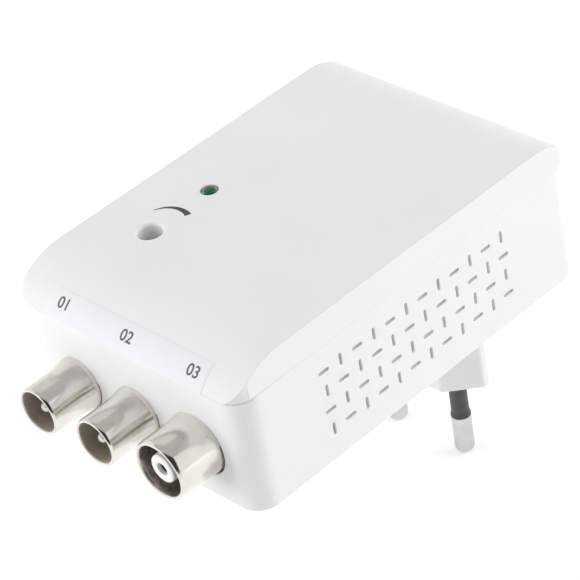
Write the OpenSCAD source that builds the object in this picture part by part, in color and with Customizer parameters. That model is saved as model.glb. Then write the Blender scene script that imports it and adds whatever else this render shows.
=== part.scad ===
// Wall-plug aerial amplifier: two-part case, built-in mains plug, three coaxial ports.
// Origin at the centre of the plug's end face, between the pins. +Z up to the cover, +Y to the back.

/* [Case] */
// Width of the case across its side faces
case_w = 56; // [52:0.5:70]
// Length of the base from its front face to its back face
base_len = 84.4; // [82:0.2:110]
// Height of the base from its underside to the seam
base_h = 24.2; // [23:0.2:32]
// Height of the cover above the seam
cover_h = 6; // [5:0.2:7]
// Wall of the base
wall = 2; // [1.6:0.1:2.4]
// Floor of the base
floor_t = 2; // [1.6:0.1:3]
// Wall of the cover
cover_t = 1.8; // [1.4:0.1:2.2]
// Radius of the base's upright corners
base_corner_r = 5; // [3:0.5:7]
// Radius of the cover's upright corners
cover_corner_r = 4.2; // [3:0.2:7]
// Radius along the base's lower edges
bottom_edge_r = 1; // [0.4:0.1:1.6]
// How far the cover stands over the base at the front and the back
overhang = 0.8; // [0:0.1:1.2]
// Radius of the roll at the cover's front end
front_roll_r = 15.6; // [12:0.2:20]
// Radius of the roll at the cover's back end
back_roll_r = 11; // [8:0.2:16]
// Depth of the cover's lip inside the base
lip_h = 1.5; // [1:0.1:2.5]
// Thickness of the cover's lip
lip_t = 1; // [0.8:0.1:1.4]
// Gap between the lip and the base's wall
lip_gap = 0.15; // [0.1:0.05:0.3]

/* [Vents] */
// Vent slots along each side
vent_columns = 12; // [6:1:14]
// Rows of vent slots
vent_rows = 4; // [2:1:4]
// Spacing of the slots both ways
vent_pitch = 4.1; // [3.6:0.1:4.4]
// Length of a slot
vent_len = 2.5; // [1.5:0.1:3]
// Width of a slot
vent_w = 0.7; // [0.4:0.1:1.2]
// First column's distance behind the front face
vent_start = 19.3; // [16:0.1:22]
// Top row's height above the underside
vent_top = 19.2; // [18:0.1:20]

/* [Plug] */
// Distance from the pin line to the base's back face
plug_inset = 18.6; // [16:0.2:24]
// Height of the plug block under the base
plinth_h = 19.8; // [14:0.2:24]
// Length of the plug block's outline
plinth_len = 35.3; // [34.6:0.1:36]
// Thickness of the plug block's outline
plinth_thk = 13.2; // [13:0.1:14.4]
// Flat at each pointed end of the outline
plinth_tip = 1.6; // [0.8:0.1:2.4]
// Pin length below the end face
pin_len = 19.4; // [18.5:0.1:19.5]
// Pin diameter
pin_d = 4; // [3.8:0.05:4.1]
// Pin spacing at the end face
pin_root = 18.6; // [18:0.1:19.2]
// Pin spacing at the tips
pin_tip = 17.5; // [17:0.1:18]
// Length of the insulating sleeve below the end face
sleeve_len = 10.6; // [9:0.1:11]
// Diameter of the sleeve
sleeve_d = 3.5; // [3.4:0.05:3.6]
// Diameter of the pin inside the sleeve
pin_core_d = 3; // [2.6:0.1:3.1]
// Round at the tip of a pin
pin_round = 1.3; // [0.5:0.1:1.8]

/* [Ports] */
// Spacing of the three ports
port_pitch = 15; // [14.8:0.1:16]
// Height of the port axes above the underside
port_z = 11.1; // [10.5:0.1:13]
// Length of an output in front of the base
output_len = 10.3; // [8:0.1:12]
// Outside diameter of an output shell
output_d = 9.5; // [9.4:0.05:9.6]
// Diameter of an output shell at its root
output_root_d = 10.4; // [10:0.1:11.6]
// Length of the straight front of an output
output_straight = 5.8; // [4:0.1:6.4]
// Wall of an output shell
output_wall = 0.75; // [0.5:0.05:0.9]
// Diameter of an output's centre pin
output_pin_d = 2.4; // [2.3:0.05:2.5]
// How far a centre pin ends behind its shell's mouth
output_pin_back = 1.2; // [0.5:0.1:3]
// Length of the input in front of the base
input_len = 9.1; // [8:0.1:12]
// Outside diameter of the input shell
input_d = 11.8; // [11.4:0.1:12.2]
// Diameter of the input shell at its root
input_root_d = 12.3; // [12:0.1:13]
// Inside diameter of the input shell
input_bore = 9.8; // [9.6:0.05:10.2]
// Diameter of the insulator's nose in the input
nose_d = 5.5; // [4.4:0.1:6.6]
// Inside diameter of the input's centre contact
socket_bore = 2.4; // [2.3:0.05:2.5]
// Wall of the centre contact
socket_wall = 0.45; // [0.3:0.05:0.6]
// How far the nose ends behind the input's mouth
nose_back = 0.8; // [0.5:0.1:3]

/* [Gain control and light] */
// Distance of the gain hole and the light left of the middle
control_x = 15.2; // [14:0.1:16]
// Gain hole's distance behind the front face
gain_y = 21.9; // [21:0.1:24]
// Diameter of the gain hole
gain_d = 4.7; // [4:0.1:5.6]
// Wall of the guide tube under the gain hole
guide_wall = 1; // [0.8:0.1:1.4]
// Round of the gain hole's rim
gain_rim_r = 0.7; // [0.3:0.1:1]
// Light's distance behind the front face
led_y = 36.6; // [34:0.1:39]
// Diameter of the light
led_d = 3; // [2.8:0.1:3.4]
// How far the light stands above the cover
led_proud = 0.4; // [0:0.1:1]
// Side of the trimmer's square body
trimmer_side = 9.4; // [8.4:0.1:10]
// Height of the trimmer's body
trimmer_h = 5; // [4.5:0.1:6]
// Diameter of the trimmer's rotor
rotor_d = 6.6; // [5:0.1:7]
// Thickness of the trimmer's rotor
rotor_t = 2.6; // [2:0.1:3]

/* [Label] */
// Width of the label
label_w = 40; // [30:0.5:44]
// Height of the label along the roll
label_h = 5.9; // [4:0.1:6.4]
// Thickness of the label
label_t = 0.1; // [0.05:0.05:0.2]

/* [Board] */
// Thickness of the circuit board
board_t = 1.6; // [1:0.1:2]
// Gap between the board and the walls
board_gap = 0.6; // [0.4:0.1:1]
// Height of the shield box
shield_h = 7; // [5:0.1:9]
// Sheet of the shield box
shield_t = 0.4; // [0.3:0.05:0.6]

/* [Hidden] */
$fn = 48;
eps = 0.01;
hair = 0.02;
slip = 0.05;
loose = 0.3;
half_w = case_w / 2;
pin_y = base_len - plug_inset;
case_top = base_h + cover_h;
ceiling = case_top - cover_t;
pin_tilt = atan((pin_root - pin_tip) / 2 / pin_len);
inner_half = half_w - wall;

// Roll centres of the cover, in its side profile
front_run = sqrt(2 * front_roll_r * cover_h - cover_h * cover_h);
back_run = sqrt(2 * back_roll_r * cover_h - cover_h * cover_h);
front_flat = front_run - overhang;
back_flat = base_len + overhang - back_run;

// Contact strips of the ports lie flat on the board
tail_t = 0.6;
tail_w = 1.6;
tail_len = 2.6;
port_flange_d = 14.4;
port_flange_t = 1.2;
port_rear = 4;
port_rear_d = 10.4;
port_hole_gap = 0.15;
insulator_front = 0.8;
output_collar = 0.4;
input_collar = 1.5;
nose_mouth_t = 0.8;
nose_mouth_gap = 0.2;
tail_root = 0.5;
board_top = port_z - tail_t / 2;
board_under = board_top - board_t;
board_front = port_rear + wall + board_gap / 2;
board_back = base_len - wall - board_gap;

// Screw pillars in the corners
screw_d = 2.9;
screw_head_d = 5.2;
screw_head_h = 1.8;
screw_reach = 3.6;
pillar_d = 6;
pillar_foot_d = 8.8;
pillar_seat = 7;
pillar_inset = 3.7;
pillar_setback = 3.5;
pillar_x = inner_half - pillar_inset;
pillar_front = wall + port_rear + tail_len + board_gap + pillar_foot_d / 2;
pillar_rear = board_back - pillar_setback;
pillar_top = base_h - lip_h - loose;
post_y = 44;
small_screw_d = 2.4;
small_head_d = 4.8;
small_head_h = 1.5;
small_screw_len = 6;
plinth_screw_x = 14.2;
plinth_screw_len = 11;

// Plug pins inside the block and the case
pin_above = 2.5;
pin_inside = plinth_h + floor_t + pin_above;
pin_hole_gap = 1.1;
sleeve_inside = 3;
sleeve_rim = 1.2;
cup_depth = 2.2;
link_d = 1.2;
link_above = 1.2;

// Trimmer
well_d = rotor_d + 2 * loose;
stub_d = 1.9;
stub_len = 1.6;
driver_slot_w = 0.8;
driver_slot_depth = 1.2;
guide_foot = board_top + trimmer_h + 2 * loose;

// Light
led_brim = 0.4;
led_flange_d = led_d + 2 * led_brim;
led_flange_h = 1;
led_h = 5.3;
led_hole_d = led_d + loose;
led_foot = case_top + led_proud - led_h;
led_pitch = 2.54;
led_wire = 0.5;

// Shield box around the radio-frequency stage
shield_x0 = -8;
shield_x1 = 17.5;
shield_setback = 5.2;
shield_y0 = board_front + shield_setback;
shield_y1 = 34;
lid_skirt = 2.5;

// Mains supply on the rear half of the board
cover_room = 2.1;
transformer_ahead = 15.8;
transformer_y = pin_y - transformer_ahead;
core_w = 16;
core_d = 6;
core_leg = 2.2;
core_centre = 4;
core_yoke = 2.2;
bobbin_d = 13;
bobbin_base_h = 2.5;
bobbin_foot = 2;
core_h = ceiling - cover_room - board_top - bobbin_base_h;
bulk_x = 14;
bulk_behind = 2;
bulk_y = transformer_y + bulk_behind;
bulk_d = 10;
bulk_room = 3.6;
bulk_h = ceiling - bulk_room - board_top;
outcap_y = (gain_y + trimmer_side / 2 + led_y) / 2;
outcap_d = 6.3;
outcap_h = 11;
fuse_x = 17.3;
fuse_behind = 2;
fuse_y = pin_y + fuse_behind;
fuse_d = 8.4;
fuse_h = 8;
diode_x = -17;
diode_ahead = 9;
diode_y = pin_y - diode_ahead;
diode_pitch = 4;
diode_d = 2.7;
diode_len = 5.2;
diode_wire = 0.8;
diode_foot = 1.4;
chip_behind = 5;
chip_y = pin_y + chip_behind;
chip_w = 9.4;
chip_d = 6.4;
chip_h = 3.3;
chip_lift = 0.5;
ycap_ahead = 5.3;
ycap_y = pin_y - ycap_ahead;
ycap_d = 8;
ycap_t = 3.5;
ycap_lift = 1.6;
ycap_pitch = 5;
amp_x = 9;
amp_y = 18;
splitter_x = -1.5;
splitter_y = 21;
splitter_d = 7;
splitter_hole = 3.4;
splitter_t = 3.2;

// Places

// Case frame: Y runs back from the base's front face, Z up from its underside
module in_case() {
  translate([0, -pin_y, plinth_h]) children();
}

// Pin frame: Z runs up along one leaning pin, from the plug's end face
module on_pin(side) {
  translate([side * pin_root / 2, 0, 0]) rotate([0, side * pin_tilt, 0]) children();
}

// Port frame: Z runs out of the case along one port's axis, from the base's front face
module on_port(x) {
  in_case() translate([x, 0, port_z]) rotate([90, 0, 0]) children();
}

// On top of the board
module on_board(x, y) {
  in_case() translate([x, y, board_top]) children();
}

module at_pillars() {
  for (x = [-pillar_x, pillar_x], y = [pillar_front, pillar_rear]) in_case() translate([x, y, 0]) children();
}

module at_posts() {
  for (x = [-pillar_x, pillar_x]) in_case() translate([x, post_y, 0]) children();
}

module at_plinth_screws() {
  for (x = [-plinth_screw_x, plinth_screw_x]) translate([x, 0, plinth_h]) children();
}

// Shared shapes

// Rectangle with round corners, from y0 to y1 and half_x each side
module round_plan(half_x, y0, y1, r) {
  translate([-half_x + r, y0]) square([2 * (half_x - r), y1 - y0]);
  translate([-half_x, y0 + r]) square([2 * half_x, y1 - y0 - 2 * r]);
  for (x = [-half_x + r, half_x - r], y = [y0 + r, y1 - r]) translate([x, y]) circle(r);
}

// Turns a profile drawn in Y and Z into a bar along X, half_x each side
module along_x(half_x) {
  translate([-half_x, 0, 0]) rotate([90, 0, 90]) linear_extrude(2 * half_x) children();
}

// Bar along X with its two lower edges rounded
module rounded_under(y0, y1, z1, r) {
  translate([y0, r]) square([y1 - y0, z1 - r]);
  translate([y0 + r, 0]) square([y1 - y0 - 2 * r, r + eps]);
  for (y = [y0 + r, y1 - r]) translate([y, r]) circle(r);
}

// Side profile of the cover, drawn inset by t
module cover_profile(t) {
  foot = base_h - (t > 0 ? hair : 0);
  translate([front_flat, foot]) square([back_flat - front_flat, case_top - t - foot]);
  intersection() {
    translate([front_flat, case_top - front_roll_r]) circle(front_roll_r - t, $fn = 96);
    translate([front_flat - front_roll_r, foot]) square([front_roll_r + eps, cover_h]);
  }
  intersection() {
    translate([back_flat, case_top - back_roll_r]) circle(back_roll_r - t, $fn = 96);
    translate([back_flat - eps, foot]) square([back_roll_r, cover_h]);
  }
}

// Solid form of the cover, inset by t on every side but its open one
module cover_form(t) {
  intersection() {
    along_x(half_w - t) cover_profile(t);
    translate([0, 0, base_h - 1]) linear_extrude(cover_h + 2)
      round_plan(half_w - t, t - overhang, base_len + overhang - t, cover_corner_r - t);
  }
}

// Plan of the base's inside, drawn inset by t
module inner_plan(t) {
  round_plan(inner_half - t, wall + t, base_len - wall - t, max(base_corner_r - wall - t, 0.4));
}

// Lip inside the base, and the ledge above it that joins it to the cover
module cover_lip() {
  translate([0, 0, base_h - lip_h]) linear_extrude(lip_h + eps) difference() {
    inner_plan(lip_gap);
    inner_plan(lip_gap + lip_t);
  }
  intersection() {
    cover_form(0);
    translate([0, 0, base_h]) linear_extrude(lip_h) difference() {
      translate([-case_w, -wall]) square([2 * case_w, base_len + 2 * wall]);
      inner_plan(lip_gap + lip_t);
    }
  }
}

module pan_screw(d, len, head_d, head_h) {
  translate([0, 0, -len]) cylinder(d = d, h = len + eps);
  difference() {
    cylinder(d = head_d, h = head_h);
    for (a = [0, 90]) rotate(a) translate([-head_d, -0.3, head_h / 2]) cube([2 * head_d, 0.6, head_h]);
  }
}

// Case

module base_form() {
  intersection() {
    linear_extrude(base_h) round_plan(half_w, 0, base_len, base_corner_r);
    along_x(half_w + 1) rounded_under(0, base_len, base_h + 1, bottom_edge_r);
    translate([0, base_len, 0]) rotate([90, 0, 0]) linear_extrude(base_len)
      rounded_under(-half_w, half_w, base_h + 1, bottom_edge_r);
  }
}

module vent_slots() {
  for (side = [-1, 1], row = [0:vent_rows - 1], column = [0:vent_columns - 1]) {
    flat = (row + column) % 2 == 0;
    size = flat ? [3 * wall, vent_len, vent_w] : [3 * wall, vent_w, vent_len];
    place = [side * half_w, vent_start + column * vent_pitch, vent_top - row * vent_pitch];
    translate(place) cube(size, center = true);
  }
}

module base_shell() {
  color("white") difference() {
    union() {
      in_case() difference() {
        base_form();
        translate([0, 0, floor_t]) linear_extrude(base_h)
          round_plan(inner_half, wall, base_len - wall, base_corner_r - wall);
      }
      intersection() {
        in_case() base_form();
        at_pillars() {
          cylinder(d = pillar_foot_d, h = board_under);
          cylinder(d = pillar_d, h = pillar_top);
        }
      }
      at_posts() cylinder(d = pillar_d, h = board_under);
    }
    in_case() vent_slots();
    at_pillars() {
      translate([0, 0, -1]) cylinder(d = screw_head_d + 2 * loose, h = pillar_seat + 1);
      cylinder(d = screw_d + 2 * slip, h = base_h);
    }
    at_posts() translate([0, 0, board_under - small_screw_len]) cylinder(d = small_screw_d + 2 * slip, h = base_h);
    for (x = [-port_pitch, 0]) on_port(x) port_hole(output_root_d);
    on_port(port_pitch) port_hole(input_root_d);
    for (side = [-1, 1]) on_pin(side) cylinder(d = pin_core_d + 2 * pin_hole_gap, h = 2 * plinth_h);
    at_plinth_screws() cylinder(d = small_screw_d + 2 * slip, h = 2 * floor_t);
  }
}

module port_hole(d) {
  translate([0, 0, -2 * wall]) cylinder(d = d + 2 * port_hole_gap, h = 4 * wall);
}

module top_cover() {
  color("white") in_case() difference() {
    union() {
      difference() {
        cover_form(0);
        cover_form(cover_t);
      }
      intersection() {
        cover_form(0);
        union() {
          translate([-control_x, gain_y, base_h]) cylinder(d = gain_d + 2 * guide_wall, h = cover_h);
          cover_bosses(base_h, case_top);
        }
      }
      cover_lip();
      translate([-control_x, gain_y, guide_foot])
        cylinder(d = gain_d + 2 * guide_wall, h = base_h - guide_foot + eps);
      cover_bosses(pillar_top + slip, base_h + eps);
    }
    translate([-control_x, gain_y, 0]) cylinder(d = gain_d, h = 2 * case_top);
    translate([-control_x, gain_y, case_top - gain_rim_r]) gain_rim();
    translate([-control_x, led_y, base_h]) cylinder(d = led_hole_d, h = 2 * cover_h);
    for (x = [-pillar_x, pillar_x], y = [pillar_front, pillar_rear])
      translate([x, y, 0]) cylinder(d = screw_d + 2 * slip, h = base_h + screw_reach + loose);
  }
}

// Bosses that the case screws bite into
module cover_bosses(z0, z1) {
  for (x = [-pillar_x, pillar_x], y = [pillar_front, pillar_rear])
    translate([x, y, z0]) cylinder(d = pillar_d, h = z1 - z0);
}

// What is cut away to round the gain hole's rim
module gain_rim() {
  rotate_extrude() difference() {
    translate([gain_d / 2 - 0.1, 0]) square([gain_rim_r + 0.1, gain_rim_r + 1]);
    translate([gain_d / 2 + gain_rim_r, 0]) circle(gain_rim_r);
  }
}

module port_label() {
  top_angle = asin(front_run / front_roll_r) - label_h / front_roll_r * 180 / PI;
  low_angle = asin(front_run / front_roll_r) - 0.5;
  reach = 2 * front_roll_r;
  color("whitesmoke") in_case() along_x(label_w / 2) intersection() {
    translate([front_flat, case_top - front_roll_r]) difference() {
      circle(front_roll_r + hair + label_t, $fn = 96);
      circle(front_roll_r + hair, $fn = 96);
    }
    translate([front_flat, case_top - front_roll_r])
      polygon([[0, 0], [-reach * sin(low_angle), reach * cos(low_angle)],
               [-reach * sin(top_angle), reach * cos(top_angle)]]);
  }
}

// Plug

module plinth_plan() {
  tip = plinth_tip / 2;
  side = plinth_thk / 2;
  end = plinth_len / 2;
  shoulder = end - (side - tip);
  polygon([[end, -tip], [end, tip], [shoulder, side], [-shoulder, side],
           [-end, tip], [-end, -tip], [-shoulder, -side], [shoulder, -side]]);
}

module plug_plinth() {
  color("white") difference() {
    linear_extrude(plinth_h) plinth_plan();
    for (side = [-1, 1]) on_pin(side) {
      translate([0, 0, -1]) cylinder(d = pin_core_d + 2 * hair, h = plinth_h + 3);
      translate([0, 0, -1]) cylinder(d = sleeve_d + 2 * hair, h = sleeve_inside + slip + 1);
    }
    at_plinth_screws() translate([0, 0, floor_t - plinth_screw_len - slip])
      cylinder(d = small_screw_d + 2 * slip, h = plinth_screw_len);
  }
}

module plug_pin(side) {
  color("silver") on_pin(side) difference() {
    union() {
      translate([0, 0, -sleeve_len - eps]) cylinder(d = pin_core_d, h = sleeve_len + pin_inside + eps);
      translate([0, 0, -pin_len + pin_round]) cylinder(d = pin_d, h = pin_len - sleeve_len - pin_round);
      translate([0, 0, -pin_len]) pin_end();
    }
    translate([0, 0, pin_inside - cup_depth]) cylinder(d = link_d + 4 * slip, h = cup_depth + 1);
  }
}

// Rounded end of a pin, from its tip up
module pin_end() {
  rotate_extrude() {
    square([pin_d / 2 - pin_round, pin_round + eps]);
    intersection() {
      translate([pin_d / 2 - pin_round, pin_round]) circle(pin_round);
      square([pin_d / 2, pin_round + eps]);
    }
  }
}

module pin_sleeve(side) {
  color("dimgray") on_pin(side) difference() {
    union() {
      translate([0, 0, -sleeve_len + eps]) cylinder(d = sleeve_d, h = sleeve_len + sleeve_inside - eps);
      translate([0, 0, -sleeve_len + eps]) cylinder(d = pin_d, h = sleeve_rim);
    }
    translate([0, 0, -sleeve_len - 1]) cylinder(d = pin_core_d + 2 * hair, h = sleeve_len + sleeve_inside + 2);
  }
}

// Ports

// Shell behind the base's front face: root in the wall, flange and rear tube
module port_back(root_d, bore) {
  translate([0, 0, -wall]) cylinder(d = root_d, h = wall + eps);
  translate([0, 0, -wall - port_flange_t]) cylinder(d = port_flange_d, h = port_flange_t);
  translate([0, 0, -wall - port_rear]) cylinder(d = port_rear_d, h = port_rear);
  for (side = [-1, 1])
    translate([side * (bore / 2 + port_rear_d / 2) / 2 - tail_w / 2, -tail_t / 2, -wall - port_rear - tail_len])
      cube([tail_w, tail_t, tail_len + tail_root]);
}

// Ring with a round front edge, from the front face out to len
module round_mouth(outer_d, bore, len) {
  t = (outer_d - bore) / 2;
  rotate_extrude() {
    translate([bore / 2, 0]) square([t, len - t / 2]);
    translate([bore / 2 + t / 2, len - t / 2]) circle(t / 2);
  }
}

module output_shell(x) {
  bore = output_d - 2 * output_wall;
  flare = output_len - output_straight;
  step = (output_root_d - output_d) / 2;
  run = flare - output_collar;
  flare_r = (step * step + run * run) / (2 * step);
  color("silver") on_port(x) difference() {
    union() {
      round_mouth(output_d, bore, output_len);
      cylinder(d = output_root_d, h = output_collar);
      rotate_extrude() difference() {
        translate([bore / 2, 0]) square([output_root_d / 2 - bore / 2, flare]);
        translate([output_d / 2 + flare_r, flare]) circle(flare_r, $fn = 96);
        translate([output_root_d / 2 - eps, 0]) square([output_wall, output_collar]);
      }
      port_back(output_root_d, bore);
    }
    translate([0, 0, -wall - port_rear - tail_len]) cylinder(d = bore, h = output_len + wall + port_rear + tail_len + 1);
  }
}

module output_insulator(x) {
  color("saddlebrown") on_port(x) difference() {
    translate([0, 0, -wall - port_rear])
      cylinder(d = output_d - 2 * output_wall - 2 * hair, h = wall + port_rear + insulator_front);
    translate([0, 0, -2 * wall - port_rear]) cylinder(d = output_pin_d + 2 * hair, h = 4 * wall + port_rear);
  }
}

// Flat strip behind a centre contact, lying on the board
module contact_tail() {
  translate([-tail_w / 2, -tail_t / 2, -wall - port_rear - tail_len]) cube([tail_w, tail_t, tail_len + tail_root]);
}

module output_pin(x) {
  tip = output_len - output_pin_back;
  color("silver") on_port(x) {
    translate([0, 0, -wall - port_rear])
      cylinder(d = output_pin_d, h = wall + port_rear + tip - output_pin_d / 2);
    translate([0, 0, tip - output_pin_d / 2]) sphere(d = output_pin_d);
    contact_tail();
  }
}

module input_shell() {
  color("silver") on_port(port_pitch) difference() {
    union() {
      round_mouth(input_d, input_bore, input_len);
      cylinder(d = input_root_d, h = input_collar);
      port_back(input_root_d, port_rear_d - 2 * output_wall);
    }
    translate([0, 0, -wall - port_rear - tail_len])
      cylinder(d = port_rear_d - 2 * output_wall, h = wall + port_rear + tail_len + insulator_front);
    translate([0, 0, insulator_front - eps]) cylinder(d = input_bore, h = input_len + 1);
  }
}

module input_insulator() {
  socket_d = socket_bore + 2 * socket_wall;
  front = input_len - nose_back;
  color("white") on_port(port_pitch) difference() {
    union() {
      translate([0, 0, -wall - port_rear])
        cylinder(d = port_rear_d - 2 * output_wall - 2 * hair, h = wall + port_rear + insulator_front - hair);
      cylinder(d = nose_d, h = front);
    }
    translate([0, 0, -2 * wall - port_rear]) cylinder(d = socket_d + 2 * hair, h = 2 * wall + port_rear + front - nose_mouth_t);
    cylinder(d = socket_bore + 2 * nose_mouth_gap, h = input_len);
  }
}

module input_socket() {
  socket_d = socket_bore + 2 * socket_wall;
  front = input_len - nose_back - nose_mouth_t - slip;
  color("gold") on_port(port_pitch) {
    difference() {
      translate([0, 0, -wall - port_rear]) cylinder(d = socket_d, h = wall + port_rear + front);
      translate([0, 0, -1]) cylinder(d = socket_bore, h = front + 2);
    }
    contact_tail();
  }
}

// Board and radio-frequency stage

module main_board() {
  color("darkgreen") difference() {
    in_case() translate([0, 0, board_under]) linear_extrude(board_t)
      round_plan(inner_half - board_gap, board_front, board_back, base_corner_r - wall - board_gap);
    at_pillars() cylinder(d = pillar_d + 2 * board_gap, h = base_h);
    board_corners();
    at_posts() cylinder(d = small_screw_d + 2 * loose, h = base_h);
    for (side = [-1, 1]) on_pin(side) cylinder(d = link_d + 2 * loose, h = 3 * plinth_h);
  }
}

// What is cut from the board outside the four pillars
module board_corners() {
  for (x = [-pillar_x - half_w, pillar_x], y = [pillar_front - half_w, pillar_rear])
    in_case() translate([x, y, 0]) cube([half_w, half_w, base_h]);
}

module shield_frame() {
  w = shield_x1 - shield_x0;
  d = shield_y1 - shield_y0;
  color("silver") on_board(shield_x0, shield_y0) difference() {
    cube([w, d, shield_h]);
    translate([shield_t, shield_t, -1]) cube([w - 2 * shield_t, d - 2 * shield_t, shield_h + 2]);
  }
}

module shield_lid() {
  w = shield_x1 - shield_x0;
  d = shield_y1 - shield_y0;
  edge = shield_t + slip;
  color("silver") on_board(shield_x0, shield_y0) translate([0, 0, shield_h]) difference() {
    translate([-edge, -edge, -lid_skirt]) cube([w + 2 * edge, d + 2 * edge, lid_skirt + shield_t]);
    translate([-slip, -slip, -lid_skirt - 1]) cube([w + 2 * slip, d + 2 * slip, lid_skirt + 1]);
  }
}

// Chip body lifted on two rows of legs
module leaded_chip(w, d, h, lift, legs) {
  leg_w = 0.5;
  foot = 0.8;
  translate([-w / 2, -d / 2, lift]) cube([w, d, h]);
  for (i = [0:legs - 1], side = [-1, 1])
    translate([(i + 0.5) * w / legs - w / 2 - leg_w / 2, side * (d / 2 + foot / 2) - foot / 2, 0])
      cube([leg_w, foot, lift + h / 2]);
}

module amplifier_chip() {
  color("black") on_board(amp_x, amp_y) leaded_chip(5, 4, 1.5, 0.2, 4);
}

module splitter_core() {
  color("dimgray") on_board(splitter_x, splitter_y) difference() {
    cylinder(d = splitter_d, h = splitter_t);
    translate([0, 0, -1]) cylinder(d = splitter_hole, h = splitter_t + 2);
  }
}

module trimmer_body() {
  color("royalblue") on_board(-control_x, gain_y) difference() {
    translate([-trimmer_side / 2, -trimmer_side / 2, 0]) cube([trimmer_side, trimmer_side, trimmer_h]);
    translate([0, 0, trimmer_h - rotor_t - loose]) cylinder(d = well_d, h = trimmer_h);
    translate([0, 0, trimmer_h - rotor_t - loose - stub_len]) cylinder(d = stub_d + 2 * slip, h = trimmer_h);
  }
}

module trimmer_rotor() {
  color("ivory") on_board(-control_x, gain_y) translate([0, 0, trimmer_h - rotor_t]) difference() {
    union() {
      cylinder(d = rotor_d, h = rotor_t);
      translate([0, 0, -stub_len]) cylinder(d = stub_d, h = stub_len + eps);
    }
    for (a = [0, 90]) rotate(a)
      translate([-rotor_d / 2 + 1, -driver_slot_w / 2, rotor_t - driver_slot_depth])
        cube([rotor_d - 2, driver_slot_w, rotor_t]);
  }
}

module power_led() {
  color("green") in_case() translate([-control_x, led_y, led_foot]) {
    cylinder(d = led_flange_d, h = led_flange_h);
    cylinder(d = led_d, h = led_h - led_d / 2);
    translate([0, 0, led_h - led_d / 2]) sphere(d = led_d);
  }
}

module led_leads() {
  color("silver") for (side = [-1, 1]) on_board(-control_x + side * led_pitch / 2, led_y)
    translate([-led_wire / 2, -led_wire / 2, 0]) cube([led_wire, led_wire, led_foot - board_top]);
}

// Mains supply

module mains_links() {
  link_foot = pin_inside - cup_depth + slip;
  color("sienna") for (side = [-1, 1]) on_pin(side)
    translate([0, 0, link_foot]) cylinder(d = link_d, h = plinth_h + board_top + link_above - link_foot);
}

module fuse() {
  color("saddlebrown") on_board(fuse_x, fuse_y) cylinder(d = fuse_d, h = fuse_h);
}

module rectifier_diodes() {
  lift = diode_d / 2;
  color("black") for (i = [0:3]) on_board(diode_x, diode_y + i * diode_pitch) {
    translate([-diode_len / 2, 0, lift]) rotate([0, 90, 0]) cylinder(d = diode_d, h = diode_len);
    for (side = [-1, 1]) {
      translate([side * (diode_len + diode_foot) / 2, 0, lift]) rotate([0, 90, 0])
        cylinder(d = diode_wire, h = diode_foot + diode_wire, center = true);
      translate([side * (diode_len / 2 + diode_foot), 0, 0]) cylinder(d = diode_wire, h = lift);
    }
  }
}

// Can with a rolled groove near its foot
module electrolytic(d, h) {
  groove_z = 1.8;
  groove_r = 0.5;
  difference() {
    cylinder(d = d, h = h);
    translate([0, 0, groove_z]) rotate_extrude() translate([d / 2, 0]) circle(groove_r);
  }
}

module bulk_capacitor() {
  color("black") on_board(bulk_x, bulk_y) electrolytic(bulk_d, bulk_h);
}

module output_capacitor() {
  color("navy") on_board(-control_x, outcap_y) electrolytic(outcap_d, outcap_h);
}

module controller_chip() {
  color("black") on_board(0, chip_y) leaded_chip(chip_w, chip_d, chip_h, chip_lift, 4);
}

module transformer_core() {
  window_h = core_h - 2 * core_yoke;
  color("dimgray") on_board(0, transformer_y) translate([-core_w / 2, -core_d / 2, bobbin_base_h]) difference() {
    cube([core_w, core_d, core_h]);
    for (x = [core_leg, core_w / 2 + core_centre / 2])
      translate([x, -core_d, core_yoke]) cube([core_w / 2 - core_leg - core_centre / 2, 3 * core_d, window_h]);
  }
}

module transformer_bobbin() {
  window_h = core_h - 2 * core_yoke;
  w = core_w - 2 * core_leg - 2 * slip;
  color("goldenrod") on_board(0, transformer_y) {
    difference() {
      translate([-w / 2, -bobbin_d / 2, bobbin_base_h + core_yoke + slip]) cube([w, bobbin_d, window_h - 2 * slip]);
      translate([-core_centre / 2 - slip, -core_d / 2 - slip, bobbin_base_h])
        cube([core_centre + 2 * slip, core_d + 2 * slip, core_h]);
    }
    translate([-core_w / 2, -bobbin_d / 2, 0]) cube([core_w, bobbin_d, bobbin_base_h]);
    for (side = [-1, 1]) translate([-w / 2, side * (bobbin_d + core_d) / 4 - bobbin_foot / 2, bobbin_base_h - eps])
      cube([w, bobbin_foot, core_yoke + 2 * slip]);
  }
}

module safety_capacitor() {
  color("cornflowerblue") on_board(0, ycap_y) {
    translate([0, 0, ycap_lift + ycap_d / 2]) rotate([90, 0, 0]) cylinder(d = ycap_d, h = ycap_t, center = true);
    for (side = [-1, 1]) translate([side * ycap_pitch / 2, 0, 0]) cylinder(d = diode_wire, h = ycap_lift + ycap_d / 2);
  }
}

// Fasteners

module case_screws() {
  color("gray") at_pillars() translate([0, 0, pillar_seat]) mirror([0, 0, 1])
    pan_screw(screw_d, base_h + screw_reach - pillar_seat, screw_head_d, screw_head_h);
}

module board_screws() {
  color("gray") at_posts() translate([0, 0, board_top])
    pan_screw(small_screw_d, small_screw_len + board_t - slip, small_head_d, small_head_h);
}

module plinth_screws() {
  color("gray") at_plinth_screws() translate([0, 0, floor_t])
    pan_screw(small_screw_d, plinth_screw_len, small_head_d, small_head_h);
}

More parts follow.
